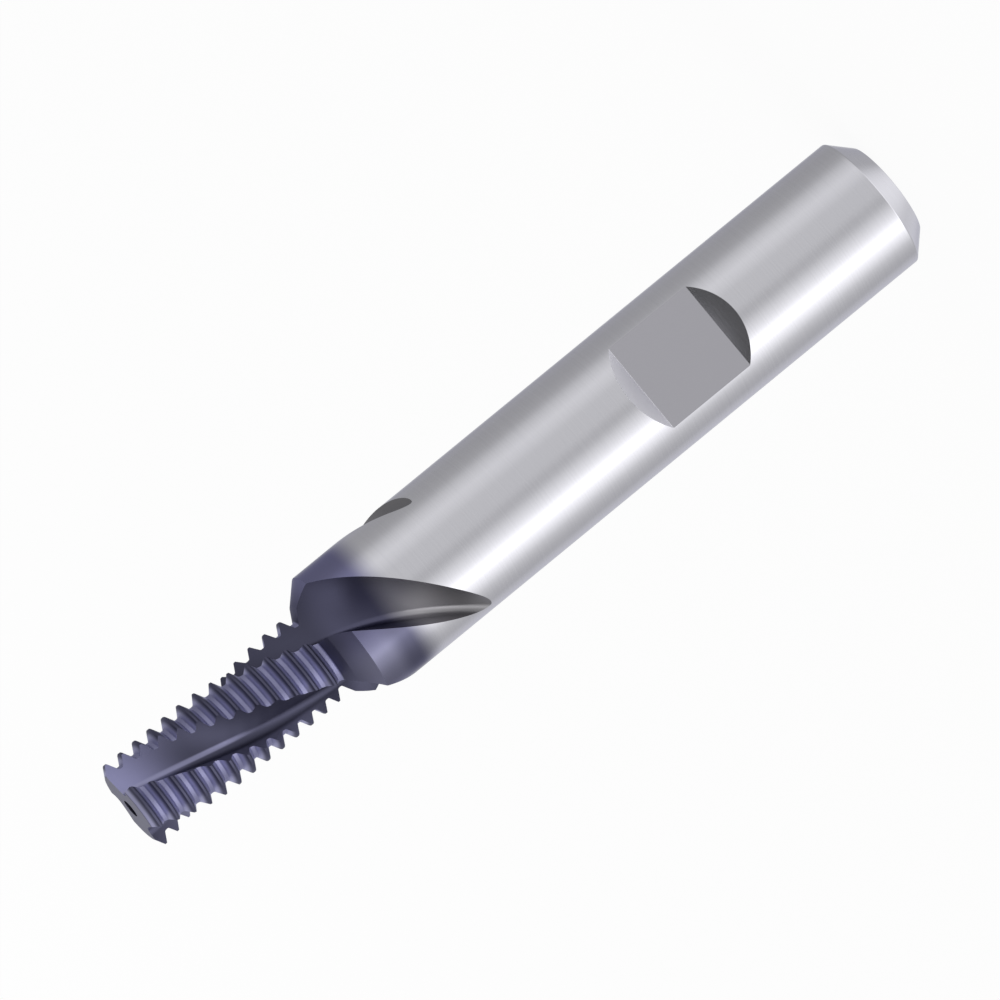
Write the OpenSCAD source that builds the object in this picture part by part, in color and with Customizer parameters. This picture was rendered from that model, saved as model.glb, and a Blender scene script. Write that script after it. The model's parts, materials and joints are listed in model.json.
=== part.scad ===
// Solid carbide thread mill, standing on the end of its shank with the tip up.
// The origin is the middle of the shank's end face, and +Z runs along the axis to the tip.

/* [Shank] */
// Overall length of the tool
tool_length = 79; // [70:1:100]
// Diameter of the shank
shank_d = 12; // [11:0.5:14]
// Width of the bevel round the shank's end
end_bevel = 1.75; // [0.25:0.25:2.5]
// Length of the floor of the clamping flat
flat_length = 8; // [5:0.5:12]
// Depth of the clamping flat below the skin of the shank
flat_depth = 1.6; // [0.8:0.1:2.4]
// Distance of the middle of the flat from the shank's end
flat_middle = 22.5; // [16:0.5:30]
// Rise of the flat's end walls, measured from its floor
flat_wall_angle = 45; // [30:5:75]

/* [Thread teeth] */
// Diameter over the crests of the teeth
cutter_d = 8; // [7:0.1:9]
// Pitch of the tooth rings
pitch = 1.5; // [1:0.25:1.75]
// Number of tooth rings
tooth_rings = 13; // [8:1:15]
// Included angle of a tooth
tooth_angle = 60; // [55:1:65]
// Included angle of the countersink cone behind the teeth
countersink_angle = 90; // [80:5:120]
// Diameter at which the last tooth flank turns into the countersink cone
countersink_d = 8.8; // [8:0.1:10]

/* [Flutes] */
// Number of flutes
flute_count = 3; // [2:1:3]
// Helix angle of the cutting edges
helix_angle = 25; // [10:1:32]
// Diameter of the core left between the flutes
core_d = 4.2; // [3.6:0.1:5]
// Angle that a flute takes out of the circle of crests
flute_angle = 60; // [50:1:70]
// Radius of the hollow back wall of a flute
flute_back_r = 8; // [6:0.5:14]
// Radius of the fillet at the foot of the rake face
flute_fillet_r = 0.8; // [0.3:0.1:1]
// Radius of the grinding wheel that leaves the flute in an arc
wheel_r = 65; // [45:5:85]
// Distance from the tip at which the wheel starts to leave the flute
lift_start = 14.25; // [8:0.25:16]
// Turn of the first cutting edge at the tip, measured from the direction that the flat faces
edge_phase = 22; // [-60:1:60]

/* [Coolant] */
// Diameter of the coolant bore along the axis
coolant_d = 1.6; // [0.8:0.1:2]

/* [Hidden] */
$fn = 96;

shank_r = shank_d / 2;
cutter_r = cutter_d / 2;
core_r = core_d / 2;

// The tooth form: a flat of an eighth of the pitch on the crest and a quarter of it at the root.
crest_half = pitch / 16;
root_half = pitch / 8;
flank_run = pitch / 2 - crest_half - root_half;
tooth_depth = flank_run / tan(tooth_angle / 2);
root_r = cutter_r - tooth_depth;

// Heights along the axis: the tip face lies at the foot of the first tooth.
first_crest = tool_length - crest_half - flank_run;
last_root = first_crest - tooth_rings * pitch + crest_half + flank_run;
cone_start = last_root - (countersink_d / 2 - root_r) * tan(tooth_angle / 2);
cone_end = cone_start - (shank_r - countersink_d / 2) / tan(countersink_angle / 2);

// Angle at the first of two circles' middles, between the line of the middles and a crossing of the circles
function crossing(radius, other_radius, apart) =
    acos((radius ^ 2 + apart ^ 2 - other_radius ^ 2) / (2 * radius * apart));

// The flute in a section across the axis: x runs ahead of the cutting edge, y outwards along the rake face.
// Its back wall is an arc that touches the core and meets the circle of crests at the flute angle.
back_centre_r = core_r + flute_back_r;
back_reach = crossing(cutter_r, flute_back_r, back_centre_r);
back_turn = flute_angle - back_reach;
back_centre = back_centre_r * [sin(back_turn), cos(back_turn)];
fillet_drop = sqrt((flute_back_r - flute_fillet_r) ^ 2 - (back_centre.x - flute_fillet_r) ^ 2);
fillet_centre = [flute_fillet_r, back_centre.y - fillet_drop];

// Directions on the two arcs, turning from the rake face to the open side, which clears the shank.
clear_r = 1.3 * shank_r;
open_reach = crossing(flute_back_r, clear_r, back_centre_r);
rake_direction = 180;
blend_direction = 180 + atan2(back_centre.y - fillet_centre.y, back_centre.x - fillet_centre.x);
open_direction = 270 - back_turn + open_reach;
rake_steps = 4;
fillet_steps = 4;
back_steps = 9;

// The way of the wheel: a helix from above the tip to the place where it has left the shank.
lead = PI * cutter_d / tan(helix_angle);
helix_cos = cos(atan(2 * PI * shank_r / lead));
overrun = 1;
lift_end = shank_r - core_r + 2 * overrun;
lift_travel = helix_cos * sqrt(wheel_r ^ 2 - (wheel_r - lift_end) ^ 2);
flute_end = lift_start + lift_travel;
station_step = 0.7;
stations = ceil((flute_end + overrun) / station_step);

// The seam of the turned body starts in the middle of a flute, so it splits no land behind the cone.
seam_turn = edge_turn(tool_length - cone_end) + flute_angle / 2;

// Direction of the first cutting edge, at a distance from the tip
function edge_turn(from_tip) = edge_phase - 90 - 360 * from_tip / lead;

// Height of the wheel above the full depth of the flute, at a distance from the tip
function lift(from_tip) =
    from_tip <= lift_start ? 0
    : wheel_r - sqrt(wheel_r ^ 2 - ((from_tip - lift_start) / helix_cos) ^ 2);

// Points of an arc, from one direction to another
function arc(centre, radius, from, to, steps) = [
    for (i = [0:steps])
    let (direction = from + (to - from) * i / steps)
    centre + radius * [cos(direction), sin(direction)]
];

// Section of the flute, from the top of the rake face round the floor to the open side
function flute_section() =
    let (fillet = arc(fillet_centre, flute_fillet_r, rake_direction, blend_direction, fillet_steps))
    let (back = arc(back_centre, flute_back_r, blend_direction, open_direction, back_steps))
    let (floor_points = concat(fillet, [for (i = [1:back_steps]) back[i]]))
    let (rake_foot = fillet_centre.y)
    let (rake = [for (i = [0:rake_steps - 1]) [0, clear_r + (rake_foot - clear_r) * i / rake_steps]])
    let (open_x = back[back_steps].x)
    concat(rake, floor_points, [[open_x, clear_r]]);

// A section's point, lifted along the rake face and turned to its place on the helix
function flute_point(point, from_tip) =
    let (turn = edge_turn(from_tip))
    let (out = point.y + lift(from_tip))
    [out * cos(turn) - point.x * sin(turn), out * sin(turn) + point.x * cos(turn), tool_length - from_tip];

// The space that one pass of the wheel clears
module flute() {
    section = flute_section();
    count = len(section);
    points = [
        for (s = [0:stations])
        for (point = section)
        flute_point(point, s * (flute_end + overrun) / stations - overrun)
    ];
    sides = [
        for (s = [0:stations - 1])
        for (i = [0:count - 1])
        let (a = s * count + i)
        let (b = s * count + (i + 1) % count)
        each [[a, b + count, b], [a, a + count, b + count]]
    ];
    first_end = [for (i = [0:count - 1]) i];
    last_end = [for (i = [0:count - 1]) (stations + 1) * count - 1 - i];
    polyhedron(points, concat(sides, [first_end, last_end]));
}

// Half of the tool's section through the axis, from the shank's end up to the tip
module turned_section() {
    teeth = [
        for (ring = [tooth_rings - 1:-1:0])
        let (crest = first_crest - ring * pitch)
        each [
            [root_r, crest - crest_half - flank_run],
            [cutter_r, crest - crest_half],
            [cutter_r, crest + crest_half],
            [root_r, crest + crest_half + flank_run]
        ]
    ];
    shank = [
        [0, 0],
        [shank_r - end_bevel, 0],
        [shank_r, end_bevel],
        [shank_r, cone_end],
        [countersink_d / 2, cone_start],
        [root_r, last_root]
    ];
    polygon(concat(shank, teeth, [[0, tool_length]]));
}

// The space of the clamping flat: a trough with sloping end walls across the shank
module clamping_flat() {
    depth = flat_depth + overrun;
    floor_half = flat_length / 2;
    top_half = floor_half + depth / tan(flat_wall_angle);
    translate([-shank_r - overrun, flat_depth - shank_r, flat_middle])
        rotate([90, 0, 90])
            linear_extrude(shank_d + 2 * overrun)
                polygon([[0, -floor_half], [0, floor_half], [-depth, top_half], [-depth, -top_half]]);
}

// The whole tool, ground from one blank
module thread_mill() {
    color("slategray")
        difference() {
            rotate(seam_turn) rotate_extrude() turned_section();
            clamping_flat();
            translate([0, 0, -overrun]) cylinder(d = coolant_d, h = tool_length + 2 * overrun);
            for (i = [0:flute_count - 1]) rotate(i * 360 / flute_count) flute();
        }
}

thread_mill();
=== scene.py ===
import json
import math

import bpy
import numpy as np
from mathutils import Matrix, Vector


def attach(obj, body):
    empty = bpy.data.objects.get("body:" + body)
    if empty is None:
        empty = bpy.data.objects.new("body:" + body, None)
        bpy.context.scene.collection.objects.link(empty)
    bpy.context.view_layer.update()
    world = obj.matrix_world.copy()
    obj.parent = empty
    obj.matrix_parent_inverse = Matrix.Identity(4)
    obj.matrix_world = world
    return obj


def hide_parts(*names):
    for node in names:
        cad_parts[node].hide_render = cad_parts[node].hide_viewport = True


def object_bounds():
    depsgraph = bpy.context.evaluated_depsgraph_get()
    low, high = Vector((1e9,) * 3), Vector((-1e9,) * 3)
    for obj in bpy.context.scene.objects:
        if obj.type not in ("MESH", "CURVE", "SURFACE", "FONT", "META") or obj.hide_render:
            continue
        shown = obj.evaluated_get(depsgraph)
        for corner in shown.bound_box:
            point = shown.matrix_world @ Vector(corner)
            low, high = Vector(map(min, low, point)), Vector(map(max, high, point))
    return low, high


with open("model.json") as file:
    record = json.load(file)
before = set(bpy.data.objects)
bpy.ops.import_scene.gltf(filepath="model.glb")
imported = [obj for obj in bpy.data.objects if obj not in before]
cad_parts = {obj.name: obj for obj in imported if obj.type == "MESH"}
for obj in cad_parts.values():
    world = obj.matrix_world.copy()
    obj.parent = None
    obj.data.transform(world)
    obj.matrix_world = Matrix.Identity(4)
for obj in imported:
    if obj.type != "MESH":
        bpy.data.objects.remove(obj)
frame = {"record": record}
cad_box = [list(corner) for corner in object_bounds()]

# The look of a solid carbide thread mill: one ground surface with a coated head, on a plain pale floor.
# Shapes are worked out in millimetres along the tool's own axis and put into the mesh in metres.

MM = 0.001
MOUNTS = {mount["name"]: mount for mount in frame["record"]["mounts"]}

# Sizes of the shank: those that the frame states are taken from it
TOOL_LENGTH = (cad_box[1][2] - cad_box[0][2]) / MM
SHANK_R = MOUNTS["shank"]["dims"]["r_mm"]
BORE_R = MOUNTS["coolant_bore"]["dims"]["r_mm"]
FLAT_DISTANCE = -MOUNTS["clamping_flat"]["pos_m"][1] / MM
FLAT_MIDDLE = MOUNTS["clamping_flat"]["pos_m"][2] / MM
FLAT_HALF = 4.0
END_BEVEL = 1.75

# Teeth, and the countersink cone of 90 degrees behind them
CUTTER_R = 4.0
PITCH = 1.5
TOOTH_RINGS = 13
TOOTH_ANGLE = math.radians(60)
TOOTH_SLOPE = math.tan(TOOTH_ANGLE / 2)
CREST_HALF = PITCH / 16
ROOT_HALF = PITCH / 8
FLANK_RUN = PITCH / 2 - CREST_HALF - ROOT_HALF
ROOT_R = CUTTER_R - FLANK_RUN / TOOTH_SLOPE
COUNTERSINK_R = 4.4
LAST_ROOT = TOOTH_RINGS * PITCH
CONE_START = LAST_ROOT + (COUNTERSINK_R - ROOT_R) * TOOTH_SLOPE
CONE_END = CONE_START + SHANK_R - COUNTERSINK_R

# Flutes: section, helix and the arc in which the wheel leaves
FLUTES = 3
SECTOR = 2 * math.pi / FLUTES
FLAT_BEARING = math.radians(-90)
EDGE_PHASE = FLAT_BEARING + math.radians(22)
HELIX_ANGLE = math.radians(25)
LEAD = math.pi * 2 * CUTTER_R / math.tan(HELIX_ANGLE)
CORE_R = 2.1
FLUTE_ANGLE = math.radians(60)
BACK_R = 8.0
FILLET_R = 0.8
WHEEL_R = 65.0
LIFT_START = 14.25
HELIX_COS = math.cos(math.atan(2 * math.pi * SHANK_R / LEAD))

# Where the lines of the tip face meet the bore, just behind the first cutting edge
BORE_PHASE = EDGE_PHASE - math.radians(3)

# How far from a corner its easing starts
ROOT_EASE = 0.11
EDGE_EASE = 0.03
SHOULDER_EASE = 0.06
SHANK_EASE = 0.08

# Fineness of the surfaces, and points on an eased corner
RAKE_COLUMNS = 6
FILLET_COLUMNS = 7
BACK_COLUMNS = 18
LAND_COLUMNS = 32
RING_COLUMNS = FLUTES * LAND_COLUMNS
RING_STEP = 2 * math.pi / RING_COLUMNS
CONE_ROWS = 13
RUN_OUT_ROWS = 71
SHANK_ROWS = 9
FLAT_COLUMNS = 24
FLAT_WALL_ROWS = 17
FLAT_FLOOR_ROWS = 8
BORE_RINGS = 3
EASE_POINTS = 4
SHANK_EASE_POINTS = 5

# Search for the end of the flutes: steps along their section, longest run-out and number of halvings
SECTION_STEPS = 4000
LONGEST_RUN_OUT = 20.0
HALVINGS = 50

# Corners closer than one of these shares of a millimetre are merged
WELD_STEPS = 1e5

# Stations are told apart by this many decimal places, and directions by this much
PLACES = 9
CLOSE = 1e-9

# Where the grinding lines of the shank start, and how far those of one flute lie from those of the next
SHANK_MARKS = 40.0
FLUTE_MARKS = 7.3


def unit(vectors):
    """Vectors divided by their own lengths."""
    return vectors / np.linalg.norm(vectors, axis=-1, keepdims=True)


def eased_line(corners, reach, bend_points=EASE_POINTS):
    """A bent line whose inner corners are rounded: each gives way to the quadratic curve that leaves the
    line `reach` before the corner and joins it `reach` after it. Returns its points and unit tangents."""
    corners, reach = np.array(corners, float), np.array(reach, float)[:, None]
    run = unit(np.diff(corners, axis=0))
    inner = corners[1:-1]
    start, stop = inner - reach * run[:-1], inner + reach * run[1:]
    done = np.linspace(0, 1, bend_points)[None, :, None]
    left = 1 - done
    bends = left ** 2 * start[:, None] + 2 * done * left * inner[:, None] + done ** 2 * stop[:, None]
    turns = unit(left * (inner - start)[:, None] + done * (stop - inner)[:, None])
    points = np.concatenate([corners[:1], bends.reshape(-1, 2), corners[-1:]])
    return points, np.concatenate([run[:1], turns.reshape(-1, 2), run[-1:]])


def with_stations(points, tangents, stations):
    """The same line with more points on it, at the given first coordinates."""
    first = np.unique(np.round(np.concatenate([points[:, 0], stations]), PLACES))
    columns = [np.interp(first, points[:, 0], part) for part in (points[:, 1], *tangents.T)]
    return np.stack([first, columns[0]], 1), unit(np.stack(columns[1:], 1))


def run_length(points):
    """Distance along a line from its first point to each of its points."""
    return np.concatenate([[0.0], np.cumsum(np.linalg.norm(np.diff(points, axis=0), axis=1))])


# The flute's section: x ahead of the cutting edge, y outwards along the rake face
BACK_CENTRE_R = CORE_R + BACK_R
BACK_REACH = math.acos((CUTTER_R ** 2 + BACK_CENTRE_R ** 2 - BACK_R ** 2) / (2 * CUTTER_R * BACK_CENTRE_R))
BACK_TURN = FLUTE_ANGLE - BACK_REACH
BACK_X, BACK_Y = BACK_CENTRE_R * math.sin(BACK_TURN), BACK_CENTRE_R * math.cos(BACK_TURN)
FILLET_Y = BACK_Y - math.sqrt((BACK_R - FILLET_R) ** 2 - (BACK_X - FILLET_R) ** 2)
BLEND = math.pi + math.atan2(BACK_Y - FILLET_Y, BACK_X - FILLET_R)


def edge_turn(from_tip):
    """Direction of the first cutting edge: it turns back by a full circle for each lead from the tip."""
    return EDGE_PHASE - 2 * np.pi * from_tip / LEAD


def lift(from_tip):
    """Rise of the wheel and its slope: none before LIFT_START, then a circle of the wheel's radius."""
    run = np.maximum(from_tip - LIFT_START, 0) / HELIX_COS
    fall = np.sqrt(WHEEL_R ** 2 - run ** 2)
    return WHEEL_R - fall, run / fall / HELIX_COS


def arc_crossings(x, y, radius, circle_r):
    """Directions on an arc, seen from its middle, at which it enters and leaves a circle round the axis."""
    far = np.hypot(x, y)
    swing = np.arccos(np.clip((circle_r ** 2 - far ** 2 - radius ** 2) / (2 * radius * far), -1, 1))
    middle = np.arctan2(y, x)
    return middle + swing, middle + 2 * np.pi - swing


def flute_reach(from_tip, circle_r):
    """Directions on the fillet and the back wall between which the lifted flute lies inside a circle."""
    rise = lift(from_tip)[0]
    fillet_in, fillet_out = arc_crossings(FILLET_R, FILLET_Y + rise, FILLET_R, circle_r)
    back_in, back_out = arc_crossings(BACK_X, BACK_Y + rise, BACK_R, circle_r)
    enter = np.where(fillet_in <= BLEND, fillet_in, back_in)
    enter = np.where(FILLET_Y + rise <= circle_r, np.pi, enter)
    leave = np.where(back_out >= BLEND, back_out, fillet_out)
    return enter, np.maximum(leave, enter)


def flute_depth(from_tip):
    """How far the lifted flute still reaches below the skin of the shank."""
    rise = lift(from_tip)[0]
    turn = np.linspace(np.pi, 1.5 * np.pi, SECTION_STEPS + 1)
    on_fillet = turn <= BLEND
    x = np.where(on_fillet, FILLET_R, BACK_X) + np.where(on_fillet, FILLET_R, BACK_R) * np.cos(turn)
    y = np.where(on_fillet, FILLET_Y, BACK_Y) + np.where(on_fillet, FILLET_R, BACK_R) * np.sin(turn)
    return SHANK_R - np.hypot(x, y + rise).min()


def flute_exit():
    """Distance from the tip at which the flute leaves the shank, by halving."""
    low, high = CONE_END, CONE_END + LONGEST_RUN_OUT
    for _ in range(HALVINGS):
        middle = (low + high) / 2
        low, high = (middle, high) if flute_depth(middle) > 0 else (low, middle)
    return low


EXIT = flute_exit()


def head_line():
    """The head's outline from the tip to the end of the flutes, as distance from the tip and radius, with
    stations that close up towards the end of the flutes, where the flutes narrow fast."""
    crests = CREST_HALF + FLANK_RUN + PITCH * np.arange(TOOTH_RINGS)
    steps = np.array([-CREST_HALF - FLANK_RUN, -CREST_HALF, CREST_HALF, CREST_HALF + FLANK_RUN])
    teeth = np.stack([(crests[:, None] + steps).ravel(),
                      np.tile([ROOT_R, CUTTER_R, CUTTER_R, ROOT_R], TOOTH_RINGS)], 1)
    behind = [[LAST_ROOT, ROOT_R], [CONE_START, COUNTERSINK_R], [CONE_END, SHANK_R], [EXIT, SHANK_R]]
    corners = np.concatenate([teeth, behind])
    reach = np.where(corners[1:-1, 1] == ROOT_R, ROOT_EASE, EDGE_EASE)
    reach[-2:] = EDGE_EASE, SHOULDER_EASE
    points, tangents = eased_line(corners, reach)
    cone = np.linspace(CONE_START, CONE_END, CONE_ROWS + 1)[1:-1]
    leaving = EXIT - (EXIT - CONE_END) * np.linspace(1, 0, RUN_OUT_ROWS + 1)[1:-1] ** 2
    return with_stations(points, tangents, np.concatenate([cone, leaving]))


def surface_marks(along, across, in_flute=0.0, on_flat=0.0):
    """Distance along and across a patch's grinding lines, and whether it lies in a flute or on the flat."""
    return np.stack(np.broadcast_arrays(along, across, in_flute, on_flat), -1)


def around(radius, turn, height):
    """Points on circles round the axis."""
    return np.stack(np.broadcast_arrays(radius * np.cos(turn), radius * np.sin(turn), height), -1)


def turned_normals(tangents, turn):
    """Outward directions of a turned surface whose outline has these tangents, as fall and widening."""
    fall, widen = tangents[:, :1], tangents[:, 1:]
    return around(fall, turn, np.broadcast_to(widen, turn.shape))


def flute_wall(line):
    """A flute's wall on a grid: rows follow the helix, and columns go down the straight rake face, round
    the fillet and up the hollow back wall, as far as the head's outline reaches. The last row is a point.
    The outward direction is the cross product of the steps along the lifted helix and along the section."""
    from_tip, radius = line[:, :1], line[:, 1:]
    rise, slope = lift(from_tip)
    enter, leave = flute_reach(from_tip, radius)
    leave[-1] = enter[-1]
    past_rake = enter > np.pi
    bend = np.clip(BLEND, enter, leave)
    fillet = enter + (bend - enter) * np.linspace(0, 1, FILLET_COLUMNS + 1)
    back = bend + (leave - bend) * np.linspace(0, 1, BACK_COLUMNS + 1)[1:]
    turn = np.concatenate([fillet, back], 1)
    on_fillet = np.concatenate([fillet <= BLEND + CLOSE, back <= BLEND], 1)
    bow = np.where(on_fillet, FILLET_R, BACK_R)
    x = np.where(on_fillet, FILLET_R, BACK_X) + bow * np.cos(turn)
    y = np.where(on_fillet, FILLET_Y, BACK_Y) + bow * np.sin(turn)
    foot = np.where(past_rake, y[:, :1] + rise, FILLET_Y + rise)
    top = np.where(past_rake, foot, radius)
    rake = top + (foot - top) * np.linspace(0, 1, RAKE_COLUMNS + 1)[:-1]
    x = np.concatenate([np.broadcast_to(x[:, :1], rake.shape), x], 1)
    out = np.concatenate([rake, y + rise], 1)
    rake_x = np.broadcast_to(np.where(past_rake, -np.sin(enter), 0), rake.shape)
    rake_out = np.broadcast_to(np.where(past_rake, np.cos(enter), -1), rake.shape)
    step_x = np.concatenate([rake_x, -np.sin(turn)], 1)
    step_out = np.concatenate([rake_out, np.cos(turn)], 1)
    across = FILLET_R * (np.minimum(turn, BLEND) - np.pi) + BACK_R * np.maximum(turn - BLEND, 0)
    across = np.concatenate([foot - rake + across[:, :1], across], 1)
    bearing = edge_turn(from_tip)
    ahead = around(1, bearing + np.pi / 2, 0 * bearing)
    outward = around(1, bearing, 0 * bearing)
    points = x[..., None] * ahead + out[..., None] * outward
    points[..., 2] = TOOL_LENGTH - from_tip
    spin = 2 * np.pi / LEAD
    along = (spin * x + slope)[..., None] * outward - (spin * out)[..., None] * ahead - np.array([0, 0, 1])
    section = step_x[..., None] * ahead + step_out[..., None] * outward
    marks = surface_marks(from_tip / HELIX_COS, across, in_flute=1.0)
    edges = np.arctan2(x[:, [0, -1]], out[:, [0, -1]]) + bearing
    return (points, unit(np.cross(along, section)), marks), edges


def land(line, tangents, edges):
    """The outside between two flutes: the head's outline turned from a flute's heel to the next edge."""
    share = np.linspace(0, 1, LAND_COLUMNS + 1)
    turn = edges[:, 1:] + (edges[:, :1] + SECTOR - edges[:, 1:]) * share
    points = around(line[:, 1:], turn, TOOL_LENGTH - line[:, :1])
    marks = surface_marks(SHANK_R * turn, run_length(line)[:, None])
    return points, turned_normals(tangents, turn), marks


def flat_plane(points, normals):
    """A level face with straight grinding lines."""
    normals = np.broadcast_to(np.array(normals, float), points.shape)
    return points, normals, surface_marks(points[..., 0], points[..., 1])


def tip_face(wall, land_points):
    """The tip: straight lines from the bore's circle to the section at the tip. All lines to a flute's wall
    start where that flute's edge looks at the bore, and the lines to a land share out the rest."""
    bore_wall = np.full(wall.shape[1], BORE_PHASE)
    bore_land = BORE_PHASE + SECTOR * np.linspace(0, 1, LAND_COLUMNS + 1)
    return [flat_plane(np.stack([around(BORE_R, bore, TOOL_LENGTH), rim[0]]), [0, 0, 1])
            for bore, rim in ((bore_wall, wall), (bore_land, land_points))]


def flat_line():
    """The clamping flat's section along the axis, as height and distance from the axis: end walls at 45
    degrees and a level floor. Stations close up towards the tops of the walls, where it narrows fast."""
    depth = SHANK_R - FLAT_DISTANCE
    half = FLAT_HALF + depth
    corners = [[-half, SHANK_R], [-FLAT_HALF, FLAT_DISTANCE], [FLAT_HALF, FLAT_DISTANCE], [half, SHANK_R]]
    points, tangents = eased_line(corners, [SHANK_EASE, SHANK_EASE])
    wall = half - depth * np.linspace(0, 1, FLAT_WALL_ROWS + 1)[1:-1] ** 2
    floor = np.linspace(-FLAT_HALF, FLAT_HALF, FLAT_FLOOR_ROWS + 1)[1:-1]
    points, tangents = with_stations(points, tangents, np.concatenate([-wall, floor, wall]))
    return points + [FLAT_MIDDLE, 0], tangents


def flat_face(line, tangents):
    """The clamping flat: its section carried straight across the shank, as wide as the shank is there."""
    height, distance = line[::-1, :1], line[::-1, 1:]
    fall, sink = tangents[::-1, :1], tangents[::-1, 1:]
    half = np.sqrt(np.maximum(SHANK_R ** 2 - distance ** 2, 0))
    x = half * np.linspace(-1, 1, FLAT_COLUMNS + 1)
    points = np.stack(np.broadcast_arrays(x, -distance, height), -1)
    normals = np.broadcast_to(np.stack([0 * fall, -fall, -sink], -1), points.shape)
    marks = surface_marks(x, run_length(line)[::-1, None], on_flat=1.0)
    return points, unit(normals), marks


def shank(flat, exit_turn):
    """The shank from the end of the flutes to the bore at its end: its outline turned about the axis from
    one side of the clamping flat round to the other. Its first circle takes up the turn of the lands."""
    upper = np.linspace(TOOL_LENGTH - EXIT, flat[-1, 0], SHANK_ROWS + 1)
    corners = [[0, SHANK_R], [flat[0, 0] - END_BEVEL, SHANK_R], [flat[0, 0], SHANK_R - END_BEVEL]]
    corners.append([flat[0, 0], BORE_R])
    end, end_tangents = eased_line(corners, [SHANK_EASE, SHANK_EASE], SHANK_EASE_POINTS)
    height = np.concatenate([upper, flat[::-1, 0][1:], flat[0, 0] - end[1:, 0]])
    straight = len(height) - len(end) + 1
    radius = np.concatenate([np.full(straight, SHANK_R), end[1:, 1]])
    tangents = np.concatenate([np.tile([1.0, 0.0], (straight, 1)), end_tangents[1:]])
    distance = np.full(len(height), SHANK_R)
    distance[len(upper) - 1:straight] = flat[::-1, 1]
    opening = np.arccos(np.clip(distance / SHANK_R, -1, 1))[:, None]
    share = np.clip((height - upper[-1]) / (upper[0] - upper[-1]), 0, 1)[:, None]
    start = FLAT_BEARING + opening + share * ((exit_turn - FLAT_BEARING) % RING_STEP)
    turn = start + (2 * math.pi - 2 * opening) * np.linspace(0, 1, RING_COLUMNS + 1)
    outline = np.stack([height, radius], 1)
    marks = surface_marks(SHANK_R * turn, SHANK_MARKS + run_length(outline)[:, None])
    return around(radius[:, None], turn, height[:, None]), turned_normals(tangents, turn), marks


def coolant_bore():
    """The bore's wall: a circle carried up the axis, turned on the way to meet the lines of the tip."""
    height = np.linspace(0, TOOL_LENGTH, BORE_RINGS)[:, None]
    twist = (BORE_PHASE - FLAT_BEARING) % RING_STEP
    turn = FLAT_BEARING + height / TOOL_LENGTH * twist + RING_STEP * np.arange(RING_COLUMNS + 1)
    marks = surface_marks(BORE_R * turn, height)
    return around(BORE_R, turn, height), around(-1, turn, 0 * turn), marks


def turned_copies(patch):
    """The patch of one flute, repeated for all of them by turning it about the axis."""
    copies = []
    for i in range(FLUTES):
        cos, sin = math.cos(i * SECTOR), math.sin(i * SECTOR)
        spin = np.array([[cos, sin, 0], [-sin, cos, 0], [0, 0, 1]])
        copies.append((patch[0] @ spin, patch[1] @ spin, patch[2] + [FLUTE_MARKS * i, 0, 0, 0]))
    return copies


def grid_triangles(rows, columns):
    """Two triangles for each cell of a grid, facing the cross product of its row step and column step."""
    corner = (np.arange(rows - 1)[:, None] * columns + np.arange(columns - 1)).ravel()
    near = np.stack([corner, corner + columns, corner + columns + 1], 1)
    far = np.stack([corner, corner + columns + 1, corner + 1], 1)
    return np.concatenate([near, far])


def closed_mesh(name, patches):
    """One mesh from grids of points, outward directions and grinding marks: corners that lie at the same
    place are merged, triangles that vanish are left out, and each corner keeps its own direction."""
    sizes = [patch[0].shape[:2] for patch in patches]
    first = np.concatenate([[0], np.cumsum([rows * columns for rows, columns in sizes])])
    points, normals, marks = (
        np.concatenate([patch[i].reshape(-1, patch[i].shape[-1]) for patch in patches]) for i in range(3))
    corners = np.concatenate([grid_triangles(*size) + start for size, start in zip(sizes, first)])
    _, kept, merged = np.unique(np.round(points * WELD_STEPS).astype(np.int64), axis=0,
                                return_index=True, return_inverse=True)
    faces = merged.ravel()[corners]
    whole = (faces[:, 0] != faces[:, 1]) & (faces[:, 1] != faces[:, 2]) & (faces[:, 2] != faces[:, 0])
    faces, corners = faces[whole], corners[whole]
    mesh = bpy.data.meshes.new(name)
    mesh.vertices.add(len(kept))
    mesh.vertices.foreach_set("co", (points[kept] * MM).ravel())
    mesh.loops.add(faces.size)
    mesh.loops.foreach_set("vertex_index", faces.ravel())
    mesh.polygons.add(len(faces))
    mesh.polygons.foreach_set("loop_start", np.arange(0, faces.size, 3))
    mesh.polygons.foreach_set("use_smooth", np.ones(len(faces), bool))
    mesh.update(calc_edges=True)
    for layer, part in (("grinding", marks[:, :2]), ("zones", marks[:, 2:])):
        mesh.uv_layers.new(name=layer).uv.foreach_set("vector", part[corners.ravel()].ravel())
    mesh.normals_split_custom_set(normals[corners.ravel()])
    return mesh


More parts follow.
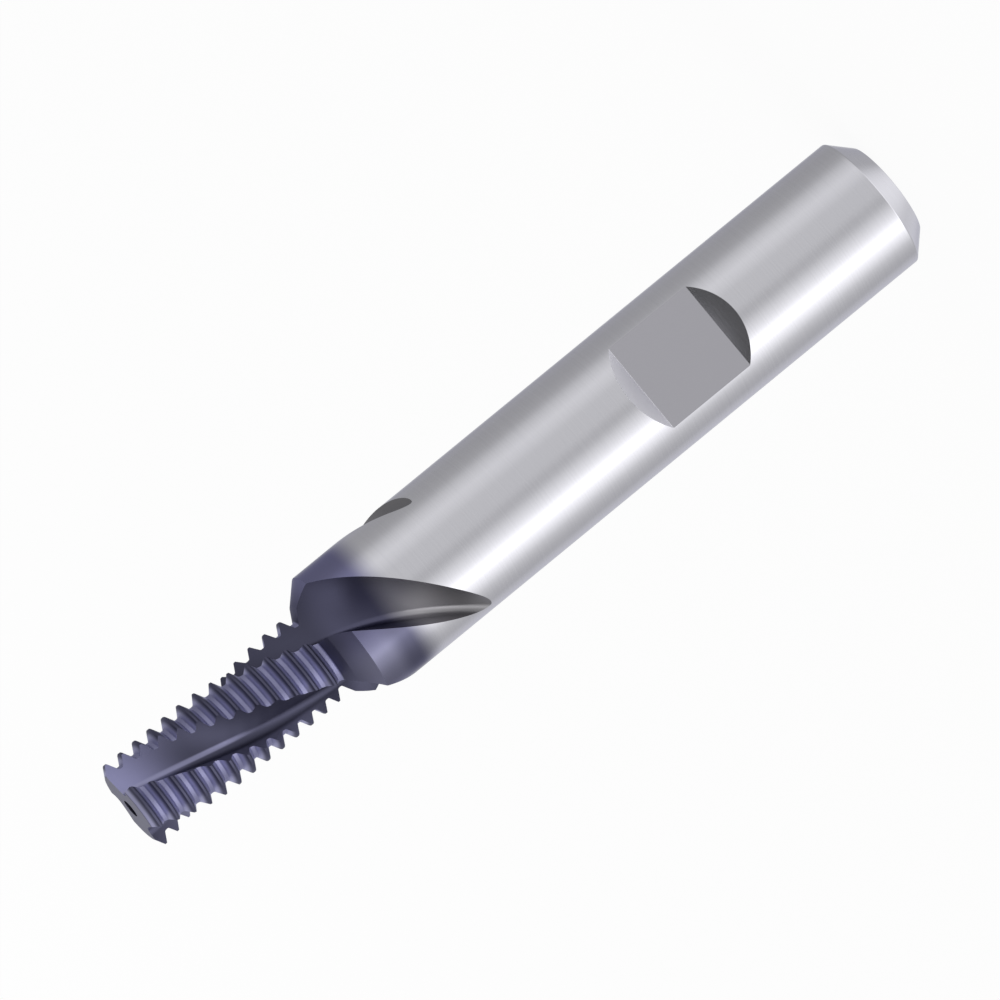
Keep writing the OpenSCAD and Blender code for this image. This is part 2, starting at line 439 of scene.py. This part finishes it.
class Signal:
    """A socket of a node tree. Operators on it add Math nodes, and node() adds any other kind of node."""

    def __init__(self, tree, socket=None):
        self.tree, self.socket = tree, socket

    def node(self, kind, settings, inputs, output=0):
        """Adds a node with its settings, and with values or links on its sockets. Returns one output."""
        made = self.tree.nodes.new("ShaderNode" + kind)
        for name, value in settings.items():
            if name == "stops":
                ramp = made.color_ramp.elements
                while len(ramp) < len(value):
                    ramp.new(1.0)
                for element, (place, colour) in zip(ramp, value):
                    element.position, element.color = place, (*colour, 1.0)
            else:
                setattr(made, name, value)
        for name, value in inputs.items():
            if isinstance(value, Signal):
                self.tree.links.new(value.socket, made.inputs[name])
            else:
                made.inputs[name].default_value = value
        return Signal(self.tree, made.outputs[output] if made.outputs else None)

    def maths(self, operation, *others):
        """Adds a Math node with this signal on its first socket."""
        return self.node("Math", {"operation": operation}, dict(enumerate((self, *others))))

    def __add__(self, other):
        return self.maths("ADD", other)

    __radd__ = __add__

    def __sub__(self, other):
        return self.maths("SUBTRACT", other)

    def __rsub__(self, other):
        return self.node("Math", {"operation": "SUBTRACT"}, {0: other, 1: self})

    def __mul__(self, other):
        return self.maths("MULTIPLY", other)

    __rmul__ = __mul__

    def __truediv__(self, other):
        return self.maths("DIVIDE", other)

    def __rtruediv__(self, other):
        return self.node("Math", {"operation": "DIVIDE"}, {0: other, 1: self})

    def between(self, low, high):
        """Rises smoothly from 0 at low to 1 at high."""
        settings = {"interpolation_type": "SMOOTHSTEP"}
        return self.node("MapRange", settings, {"Value": self, "From Min": low, "From Max": high})

    def until(self, low, high):
        """Falls smoothly from 1 at low to 0 at high."""
        return 1.0 - self.between(low, high)

    def within(self, rise, fall):
        """Rises smoothly from 0 to 1 over the first stretch and falls back over the second."""
        return self.between(*rise) - self.between(*fall)

    def blend(self, first, second):
        """The first colour where this is 0 and the second where it is 1."""
        ends = [end if isinstance(end, Signal) else (*end, 1.0) for end in (first, second)]
        return self.node("Mix", {"data_type": "RGBA"}, {0: self, 6: ends[0], 7: ends[1]}, 2)


def new_tree(owner):
    """An empty node tree on a material or world."""
    owner.use_nodes = True
    owner.node_tree.nodes.clear()
    return Signal(owner.node_tree)


# Stretches of the finish and of its painted light and shade, in millimetres from the tip
TIP_SPAN = (0.0, 6.5)
FOOT_END_SPAN = (8.0, 12.0)
RAKE_SPANS = ((2.0, 5.0), (15.0, 19.0))
FIRST_TOOTH_SPAN = (0.005, 0.03)
LAST_TOOTH_SPAN = (LAST_ROOT, LAST_ROOT + 0.1)
CONE_RIM_SPAN = (CONE_END - 0.03, CONE_END)
PALE_SPAN = (19.6, 21.9)
DARK_RIM_SPAN = (22.6, 24.2)
BARE_SPAN = (24.7, 27.2)
HOLLOW_SPAN = (26.0, 31.0)

# Stretches from the axis, up a tooth
SKIN_SPAN = (ROOT_R - 0.1, ROOT_R - 0.03)
FLANK_SPAN = (ROOT_R + 0.02, ROOT_R + 0.14)
CREST_SPAN = (ROOT_R + 0.25, CUTTER_R - 0.1)

# Stretches along X, along the section of a flute from the foot of its rake face, and along the flat
LONG_SIDE_SPAN = (-3.6, -0.6)
TIP_SIDE_SPAN = (-2.8, -0.8)
RAKE_FOOT_SPAN = (-0.3, 0.1)
# Where the painted highlight along the foot of the rake faces rises and falls
FOOT_HIGHLIGHT_SPANS = ((0.7, 0.9), (1.1, 1.3))
FLAT_WALL_SPAN = (FLAT_HALF, FLAT_HALF + 0.06)

# How much the coat's end wavers, how much further it reaches on its long side,
# and what the painted highlight behind the cone loses in the flutes and at the dark rim
COAT_WAVER = 0.8
LONG_SIDE_EXTRA = 0.7
PALE_LOST_IN_FLUTE = 0.75
PALE_LOST_AT_RIM = 0.85

# Noise: stretch of the grinding lines along and across, spots of cloud in a metre, fineness and middle
LINE_STRETCH = (0.12, 7.0, 0.0)
LINE_DETAIL = 3.0
CLOUD_SCALE = 90.0
CLOUD_DETAIL = 2.0
CLOUD_MIDDLE = 0.5

# Coat and bare carbide from the ground up, painted light and shade among them: place, cover, linear colour
HEAD_COAT = ((0.076, 0.076, 0.119), (0.092, 0.092, 0.145))
# Painted shade darkens the coated flutes, and painted light lightens their rake faces
COAT_LIGHT_AND_SHADE_LAYERS = [("flute", 0.4, (0.05, 0.05, 0.08)), ("rake", 1.0, (0.19, 0.19, 0.285)),
               # Painted highlights at the tip's end of the flutes and along the foot of the rake faces
               ("tip_end", 0.9, (0.31, 0.31, 0.51)), ("foot_line", 0.8, (0.30, 0.30, 0.46))]
# Painted light between the teeth: at the roots, and brighter up the flanks
TOOTH_PAINTED_LIGHT = ((0.265, 0.265, 0.415), (0.41, 0.41, 0.59))
# Painted highlight on the coat behind the cone, bluer on the short side than on the long side
BEHIND_CONE_HIGHLIGHT = ((0.172, 0.170, 0.290), (0.158, 0.157, 0.228))
SHANK_GREY = ((0.555, 0.552, 0.585), (0.625, 0.622, 0.655))
# Bare layers: clouds are the carbide's own tone, the flat's floor is ground darker, its tip-side wall has
# painted light
BARE_LAYERS = [("clouds", 0.3, (0.575, 0.575, 0.64)), ("tip_wall", 1.0, (0.68, 0.676, 0.71)),
               ("flat_floor", 1.0, (0.435, 0.43, 0.465))]
# Painted shade in the bare flutes: lighter where they leave the coat, deep from 31 mm to their run-out
BARE_FLUTE_SHADE = ((0.46, 0.45, 0.475), (0.20, 0.196, 0.206))

# Roughness of the coat, and what each place adds to it
COAT_ROUGHNESS = 0.255
ROUGHNESS_STEPS = [("lines", 0.06), ("clouds", 0.03), ("teeth", 0.2), ("cone", 0.2), ("coated_flute", 0.17),
                   ("behind_cone", -0.09), ("bare", -0.14), ("bare_flat", 0.06), ("bare_tip_wall", 0.22),
                   ("bare_flute", 0.2)]

# Grinding lines as a bump: height in metres and strength
LINE_HEIGHT = 0.00001
LINE_STRENGTH = 0.12

# Tint of the carbide where it is seen at a low angle
EDGE_TINT = (0.55, 0.55, 0.6, 1)


def finish_places(tree):
    """Where each finish and each stretch of painted light and shade lies, as signals from 0 to 1. They come
    from the place on the object, from the marks that the patches carry, and from two noises: lines along
    the grinding marks, and soft clouds."""
    place = tree.node("TexCoord", {}, {}, "Object")
    x, y, height = (tree.node("SeparateXYZ", {}, {0: place}, axis) / MM for axis in "XYZ")
    marks = tree.node("UVMap", {"uv_map": "grinding"}, {})
    zones = tree.node("UVMap", {"uv_map": "zones"}, {})
    across = tree.node("SeparateXYZ", {}, {0: marks}, "Y")
    flute, flat = (tree.node("SeparateXYZ", {}, {0: zones}, axis) for axis in "XY")
    stretched = tree.node("VectorMath", {"operation": "MULTIPLY"}, {0: marks, 1: LINE_STRETCH})
    lines = tree.node("TexNoise", {}, {"Vector": stretched, "Scale": 1.0, "Detail": LINE_DETAIL})
    clouds = tree.node("TexNoise", {}, {
        "Vector": place, "Scale": CLOUD_SCALE, "Detail": CLOUD_DETAIL})
    from_tip = TOOL_LENGTH - height
    from_axis = (x * x + y * y).maths("SQRT")
    long_side = x.until(*LONG_SIDE_SPAN)
    reached = from_tip + (clouds - CLOUD_MIDDLE) * COAT_WAVER - long_side * LONG_SIDE_EXTRA
    bare = reached.between(*BARE_SPAN)
    behind_cone = from_tip.between(*PALE_SPAN)
    # Near the coat's end on its long side the painted highlight gives way, leaving a dark rim
    dark_rim = reached.between(*DARK_RIM_SPAN) * long_side
    skin = (1.0 - flute) * from_axis.between(*SKIN_SPAN)
    teeth = from_tip.within(FIRST_TOOTH_SPAN, LAST_TOOTH_SPAN) * skin
    off_middle = height - FLAT_MIDDLE
    flat_walls = flat * off_middle.maths("ABSOLUTE").between(*FLAT_WALL_SPAN)
    tip_wall = flat_walls * off_middle.between(0.0, FLAT_HALF)
    return {
        "lines": lines, "clouds": clouds, "flute": flute, "teeth": teeth, "bare": bare,
        "long_side": long_side,
        "flank": from_axis.between(*FLANK_SPAN),
        # Painted light in the grooves between the teeth, on roots and flanks
        "valley": teeth * from_axis.until(*CREST_SPAN),
        "cone": from_tip.within(LAST_TOOTH_SPAN, CONE_RIM_SPAN) * skin,
        # Painted highlight at the tip's end of the flutes
        "tip_end": flute * from_tip.until(*TIP_SPAN) * x.between(*TIP_SIDE_SPAN),
        # Painted highlight along the foot of the rake faces
        "foot_line": flute * across.within(*FOOT_HIGHLIGHT_SPANS) * from_tip.until(*FOOT_END_SPAN),
        # Painted light on the rake faces
        "rake": flute * across.until(*RAKE_FOOT_SPAN) * from_tip.within(*RAKE_SPANS),
        # Painted highlight behind the cone, less in the flutes and at the dark rim
        "pale": behind_cone * (1.0 - flute * PALE_LOST_IN_FLUTE) * (1.0 - dark_rim * PALE_LOST_AT_RIM),
        # Where the painted shade in the bare flutes deepens
        "hollow": from_tip.between(*HOLLOW_SPAN),
        "tip_wall": tip_wall, "flat_floor": flat - flat_walls,
        "coated_flute": (1.0 - bare) * flute, "behind_cone": (1.0 - bare) * behind_cone,
        "bare_flute": bare * flute, "bare_flat": bare * flat, "bare_tip_wall": bare * tip_wall}


def layered(at, colour, layers):
    """A colour with others laid over it, each as far as its place and its cover say."""
    for place, cover, layer in layers:
        colour = (at[place] * cover).blend(colour, layer)
    return colour


def coated_carbide():
    """Ground carbide with a dark violet grey coat on the head. Over the coat lie painted light in the
    grooves between the teeth and up their flanks, painted highlights at the tip's end of the flutes and
    along the foot of the rake faces, painted light on the rake faces and painted shade in the flutes.
    Behind the countersink cone the coat has a painted highlight, bluer on one side and giving way to a dark
    rim on the other, where the coat reaches further, and it fades into the bare shank. On the bare carbide
    the flat's tip-side wall has painted light and the flutes painted shade. The flutes, the teeth and the
    clamping flat are duller than the shank. Fine lines follow the wheel: round the shank, along the flutes
    and across the flat."""
    material = bpy.data.materials.new("coated_carbide")
    tree = new_tree(material)
    at = finish_places(tree)
    coat = layered(at, at["clouds"].blend(*HEAD_COAT), COAT_LIGHT_AND_SHADE_LAYERS)
    coat = layered(at, coat, [("valley", 1.0, at["flank"].blend(*TOOTH_PAINTED_LIGHT)),
                              ("pale", 1.0, at["long_side"].blend(*BEHIND_CONE_HIGHLIGHT))])
    bare = layered(at, at["lines"].blend(*SHANK_GREY), BARE_LAYERS)
    bare = layered(at, bare, [("flute", 1.0, at["hollow"].blend(*BARE_FLUTE_SHADE))])
    roughness = COAT_ROUGHNESS
    for place, step in ROUGHNESS_STEPS:
        roughness = roughness + at[place] * step
    bump = tree.node("Bump", {}, {
        "Strength": LINE_STRENGTH, "Distance": LINE_HEIGHT, "Height": at["lines"]})
    shader = tree.node("BsdfPrincipled", {}, {
        "Base Color": at["bare"].blend(coat, bare), "Metallic": 1.0, "Roughness": roughness,
        "Normal": bump, "Specular Tint": EDGE_TINT})
    tree.node("OutputMaterial", {}, {"Surface": shader})
    return material


def build_thread_mill():
    """The whole tool as one closed surface."""
    line, tangents = head_line()
    wall, edges = flute_wall(line)
    outside = land(line, tangents, edges)
    flat, flat_tangents = flat_line()
    patches = [shank(flat, edges[-1, 0]), flat_face(flat, flat_tangents), coolant_bore()]
    for patch in (wall, outside, *tip_face(wall[0], outside[0])):
        patches += turned_copies(patch)
    piece = bpy.data.objects.new("thread_mill_body", closed_mesh("thread_mill_body", patches))
    bpy.context.scene.collection.objects.link(piece)
    piece.data.materials.append(coated_carbide())
    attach(piece, "root")
    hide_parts("thread_mill")


# Camera: ten degrees above level and turned so that the tip points down to the left
CAMERA_BEARING = math.radians(-91.35)
CAMERA_RISE = math.radians(10)
AXIS_LEAN = math.radians(39.334)
LENS = 600.0
SENSOR = 36.0

# What the camera sees, in millimetres: width of the picture, and height and offset of its middle
FRAME_WIDTH = 79.68127
AIM_HEIGHT = 40.255
AIM_ASIDE = 0.365

# Nearest and farthest distance seen, in metres
CLIP = (0.05, 20.0)


def place_camera():
    """A long lens square to the chosen direction, rolled so that the axis lies across the picture."""
    level = Vector((math.cos(CAMERA_BEARING), math.sin(CAMERA_BEARING), 0))
    back = level * math.cos(CAMERA_RISE) + Vector((0, 0, math.sin(CAMERA_RISE)))
    right = Vector((0, 0, 1)).cross(back).normalized()
    up = back.cross(right)
    picture_right = -math.cos(AXIS_LEAN) * up - math.sin(AXIS_LEAN) * right
    picture_up = -math.sin(AXIS_LEAN) * up + math.cos(AXIS_LEAN) * right
    aim = (Vector((0, 0, AIM_HEIGHT)) + AIM_ASIDE * right) * MM
    data = bpy.data.cameras.new("camera")
    data.lens, data.sensor_width = LENS, SENSOR
    data.clip_start, data.clip_end = CLIP
    camera = bpy.data.objects.new("camera", data)
    turn = Matrix((picture_right, picture_up, back)).transposed().to_4x4()
    camera.matrix_world = Matrix.Translation(aim + back * (FRAME_WIDTH * MM * LENS / SENSOR)) @ turn
    bpy.context.scene.collection.objects.link(camera)
    bpy.context.scene.camera = camera


# Light of the studio hood round the tool: angle from the camera's bearing, in degrees, and brightness
HOOD_LIGHT = [(-180, 1.1), (-150, 0.74), (-126, 0.55), (-110, 0.52), (-94, 0.55), (-86, 0.63), (-78, 0.77),
              (-70, 0.88), (-56, 1.02), (-44, 0.95), (-32, 0.83), (-6, 0.82), (0, 0.77), (6, 0.70),
              (12, 0.70), (18, 0.80), (24, 0.95), (36, 1.22), (43, 1.43), (50, 1.75), (57, 2.3),
              (64, 1.95), (70, 1.60), (78, 1.37), (86, 1.12), (94, 0.90), (104, 0.77), (114, 0.70),
              (126, 0.70), (140, 0.96), (152, 1.2), (180, 1.1)]
HOOD_STRENGTH = 2.0

# Size of the hood and height of its middle, in metres, and its fineness
HOOD_R = 0.9
HOOD_MIDDLE = 0.04
HOOD_COLUMNS = 48
HOOD_ROWS = 24

# Even light overhead and below: sine of the rise over which it takes over, and brightness
HOOD_ABOVE = ((0.5, 0.9), 0.76)
HOOD_BELOW = ((0.85, 0.99), 1.2)

# Cards on the hood: bearing from the camera's, rise, reach of the full card and of its soft rim, brightness
HOOD_CARDS = [(0, 80, 14, 28, 0.1), (0, -76, 12, 28, 1.45)]

# Floor: radii of its circles in metres, fineness, colour, and how much of its own white the eye sees
FLOOR_RINGS = (0, 0.2, 0.8, 4.0)
FLOOR_COLUMNS = 64
FLOOR_WHITE = (0.95, 0.95, 0.95, 1)
FLOOR_GLOW = 0.92

# Background, and its strength as light
WHITE = (1, 1, 1, 1)
WORLD_LIGHT = 0.9


def hood_grey(brightness):
    """A grey of the hood, as a share of its strength."""
    return (brightness / HOOD_STRENGTH,) * 3


def studio_hood():
    """A ball of soft light round the tool: a half circle turned about the axis. Its light changes with the
    bearing as in a hood with pale and grey panels. It is even overhead and below, but for a few cards."""
    turn = np.linspace(0, 2 * np.pi, HOOD_COLUMNS + 1)
    rise = np.linspace(np.pi / 2, -np.pi / 2, HOOD_ROWS + 1)[:, None]
    outward = around(np.cos(rise), turn, np.sin(rise))
    points = (HOOD_R * outward + [0, 0, HOOD_MIDDLE]) / MM
    mesh = closed_mesh("studio_hood", [(points, outward, surface_marks(turn, rise))])
    hood = bpy.data.objects.new("studio_hood", mesh)
    material = bpy.data.materials.new("hood_light")
    tree = new_tree(material)
    place = tree.node("TexCoord", {}, {}, "Object")
    aside = tree.node("VectorMath", {"operation": "SUBTRACT"}, {0: place, 1: (0, 0, HOOD_MIDDLE)})
    direction = tree.node("VectorMath", {"operation": "NORMALIZE"}, {0: aside})
    x, y, level = (tree.node("SeparateXYZ", {}, {0: direction}, axis) for axis in "XYZ")
    share = ((CAMERA_BEARING - y.maths("ARCTAN2", x)) / (2 * math.pi) + 0.5).maths("FRACT")
    stops = [(angle / 360 + 0.5, hood_grey(light)) for angle, light in HOOD_LIGHT]
    colour = tree.node("ValToRGB", {"stops": stops}, {0: share})
    for height, (span, light) in ((0.0 - level, HOOD_BELOW), (level, HOOD_ABOVE)):
        colour = height.between(*span).blend(colour, hood_grey(light))
    for bearing, rise, full, rim, light in HOOD_CARDS:
        turn = CAMERA_BEARING - math.radians(bearing)
        rise, full, rim = np.radians((rise, full, rim))
        middle = tuple(around(math.cos(rise), turn, math.sin(rise)))
        facing = tree.node("VectorMath", {"operation": "DOT_PRODUCT"}, {0: direction, 1: middle}, "Value")
        colour = facing.between(math.cos(rim), math.cos(full)).blend(colour, hood_grey(light))
    glow = tree.node("Emission", {}, {"Color": colour, "Strength": HOOD_STRENGTH})
    tree.node("OutputMaterial", {}, {"Surface": glow})
    material.cycles.emission_sampling = "NONE"
    hood.data.materials.append(material)
    hood.visible_camera = False
    bpy.context.scene.collection.objects.link(hood)


def seen_directly(tree):
    """One for rays from the camera, and for what metal and glass show."""
    camera, glossy, through = (tree.node("LightPath", {}, {}, name) for name in (
        "Is Camera Ray", "Is Glossy Ray", "Is Transmission Ray"))
    return camera.maths("MAXIMUM", glossy.maths("MAXIMUM", through))


def pale_floor():
    """A round white floor: circles of growing radius. The eye sees its own white with the tool's shadow."""
    turn = np.linspace(0, 2 * np.pi, FLOOR_COLUMNS + 1)
    points = around(np.array(FLOOR_RINGS)[:, None], turn, 0.0) / MM
    floor = bpy.data.objects.new("pale_floor", closed_mesh("pale_floor", [flat_plane(points, [0, 0, 1])]))
    material = bpy.data.materials.new("floor_white")
    tree = new_tree(material)
    matt = tree.node("BsdfDiffuse", {}, {"Color": FLOOR_WHITE})
    white = tree.node("Emission", {}, {"Color": WHITE, "Strength": 1.0})
    shader = tree.node("MixShader", {}, {0: seen_directly(tree) * FLOOR_GLOW, 1: matt, 2: white})
    tree.node("OutputMaterial", {}, {"Surface": shader})
    floor.data.materials.append(material)
    floor.visible_glossy = False
    bpy.context.scene.collection.objects.link(floor)


def white_world():
    """White where it is seen, and a little dimmer as light."""
    world = bpy.data.worlds.new("white_world")
    tree = new_tree(world)
    strength = WORLD_LIGHT + seen_directly(tree) * (1 - WORLD_LIGHT)
    back = tree.node("Background", {}, {"Color": WHITE, "Strength": strength})
    tree.node("OutputWorld", {}, {"Surface": back})
    bpy.context.scene.world = world


build_thread_mill()
place_camera()
studio_hood()
pale_floor()
white_world()
bpy.context.scene.view_settings.view_transform = "Standard"
